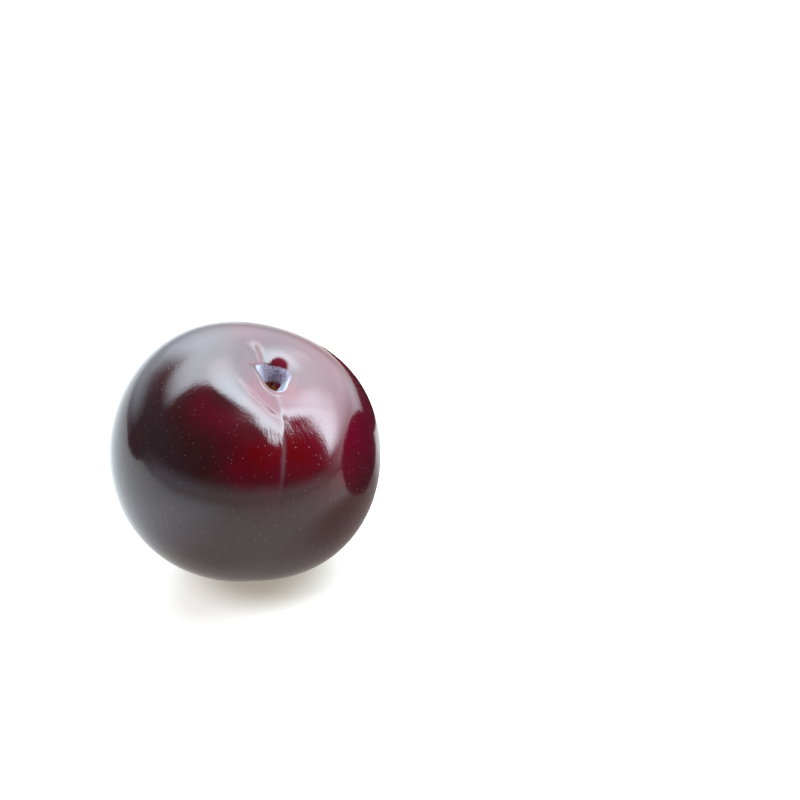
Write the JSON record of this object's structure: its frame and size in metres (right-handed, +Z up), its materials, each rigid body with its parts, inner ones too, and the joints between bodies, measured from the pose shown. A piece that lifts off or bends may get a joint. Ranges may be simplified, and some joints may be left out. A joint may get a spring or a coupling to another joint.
{
  "type": "plum",
  "caption": "Fresh dark round plum with a stem cavity and a suture groove, lying on a small flat spot of its skin.",
  "frame": {"origin": "middle of the small flat spot that the fruit lies on", "axes": "+Z up from the flat spot, -Y towards the side with the stem cavity and the suture, +X to that side's right"},
  "size_m": [0.0594, 0.0596, 0.053],
  "materials": {
    "plum_skin": "waxy, glossy dark crimson to purple-black skin with faint pale dots and a bloomed stem cavity"
  },
  "bodies": {
    "root": {"plum": "plum_skin"}
  },
  "joints": []
}
